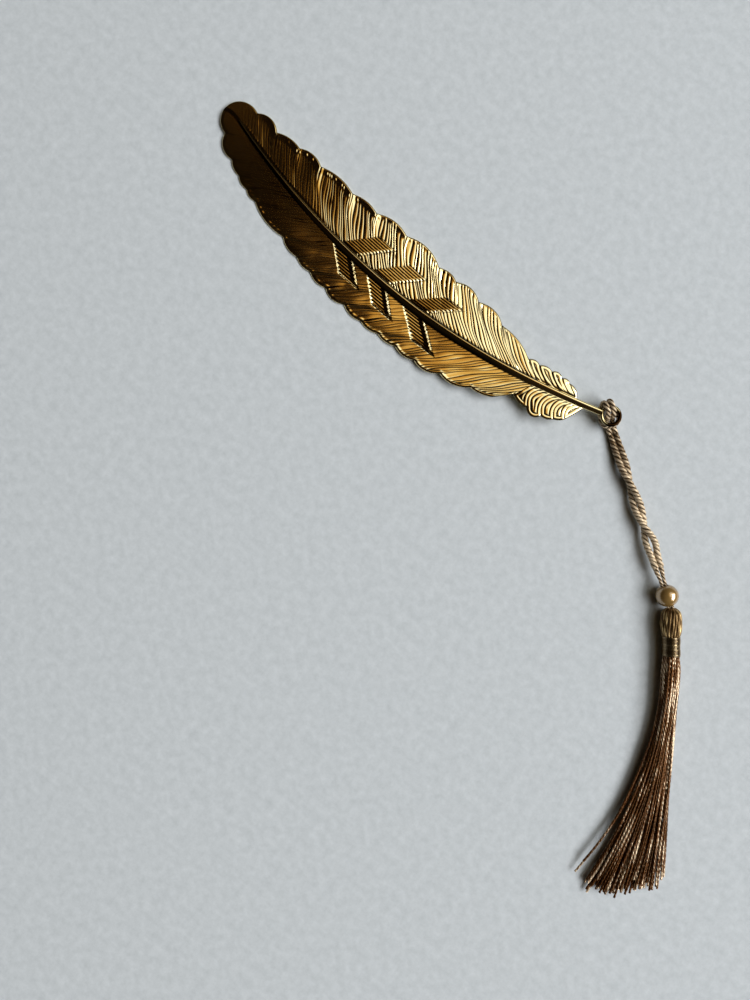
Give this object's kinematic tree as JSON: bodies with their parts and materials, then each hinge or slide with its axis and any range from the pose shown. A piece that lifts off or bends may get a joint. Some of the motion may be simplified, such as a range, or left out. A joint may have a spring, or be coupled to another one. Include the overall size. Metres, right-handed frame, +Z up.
{
  "type": "feather bookmark",
  "caption": "Feather-shaped metal bookmark with engraved vanes and an eyelet; a hitched cord carries a pearl bead and a thread tassel that swing freely.",
  "frame": {"origin": "on the flat underside of the feather blade, under the middle of its rachis", "axes": "+X from the feather's tip towards its eyelet, +Y across the blade towards its wider vane, +Z up from the page it lies on"},
  "size_m": [0.1958, 0.099, 0.0053],
  "materials": {
    "gilt_brass": "polished and antiqued gold plating",
    "cord": "twisted satin cord",
    "pearl": "pearlescent gloss",
    "silk_thread": "twisted satin thread",
    "binding_thread": "shiny wound thread"
  },
  "bodies": {
    "feather": {"feather_blade": "gilt_brass"},
    "hitch": {"cord_hitch": "cord"},
    "cord": {"cord_strand_left": "cord", "cord_strand_right": "cord", "cord_gather": "cord"},
    "bead": {"pearl_bead": "pearl"},
    "tassel": {"cord_knot": "cord", "tassel_head": "silk_thread", "tassel_neck": "silk_thread", "neck_binding": "binding_thread"},
    "skirt": {"skirt_threads": "silk_thread"}
  },
  "joints": [
    {"name": "hitch_turn", "type": "hinge", "parent": "feather", "child": "hitch", "pos_m": [0.0574, 0.0073, 0.0033], "axis": [0, 0, 1], "range_deg": [-75, 10]},
    {"name": "cord_lift", "type": "hinge", "parent": "hitch", "child": "cord", "pos_m": [0.06093, 0.00484, 0.00068], "axis": [-0.5721, -0.8202, 0], "range_deg": [-80, 80]},
    {"name": "bead_slide", "type": "slide", "parent": "cord", "child": "bead", "axis": [-0.8202, 0.5721, 0], "range_m": [0, 0.0025]},
    {"name": "tassel_swing", "type": "hinge", "parent": "cord", "child": "tassel", "pos_m": [0.09648, -0.01996, 0.00265], "axis": [0, 0, 1], "range_deg": [-16, 48]},
    {"name": "skirt_sway", "type": "hinge", "parent": "tassel", "child": "skirt", "pos_m": [0.10354, -0.02916, 0.00265], "axis": [0, 0, 1], "range_deg": [-20, 20]}
  ]
}
